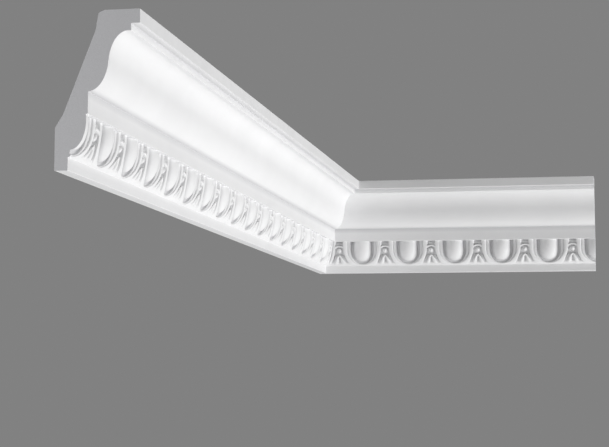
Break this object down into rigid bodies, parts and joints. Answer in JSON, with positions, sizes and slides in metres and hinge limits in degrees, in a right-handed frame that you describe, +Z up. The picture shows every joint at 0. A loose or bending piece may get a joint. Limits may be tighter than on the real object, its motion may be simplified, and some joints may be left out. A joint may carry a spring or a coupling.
{
  "type": "cornice moulding section",
  "caption": "Mitred inside corner of egg-and-dart cornice moulding that covers the joint between walls and ceiling.",
  "frame": {"origin": "the inside corner of the two walls, at the level of the moulding's underside", "axes": "+X along the back wall and the short length, -Y along the left wall and the long length, +Z up to the ceiling"},
  "size_m": [0.372, 1.07, 0.119],
  "materials": {
    "primed_foam": "smooth white primer on rigid moulding foam, bare grey foam on the cut ends"
  },
  "bodies": {
    "root": {"long_length": "primed_foam", "short_length": "primed_foam"}
  },
  "joints": []
}
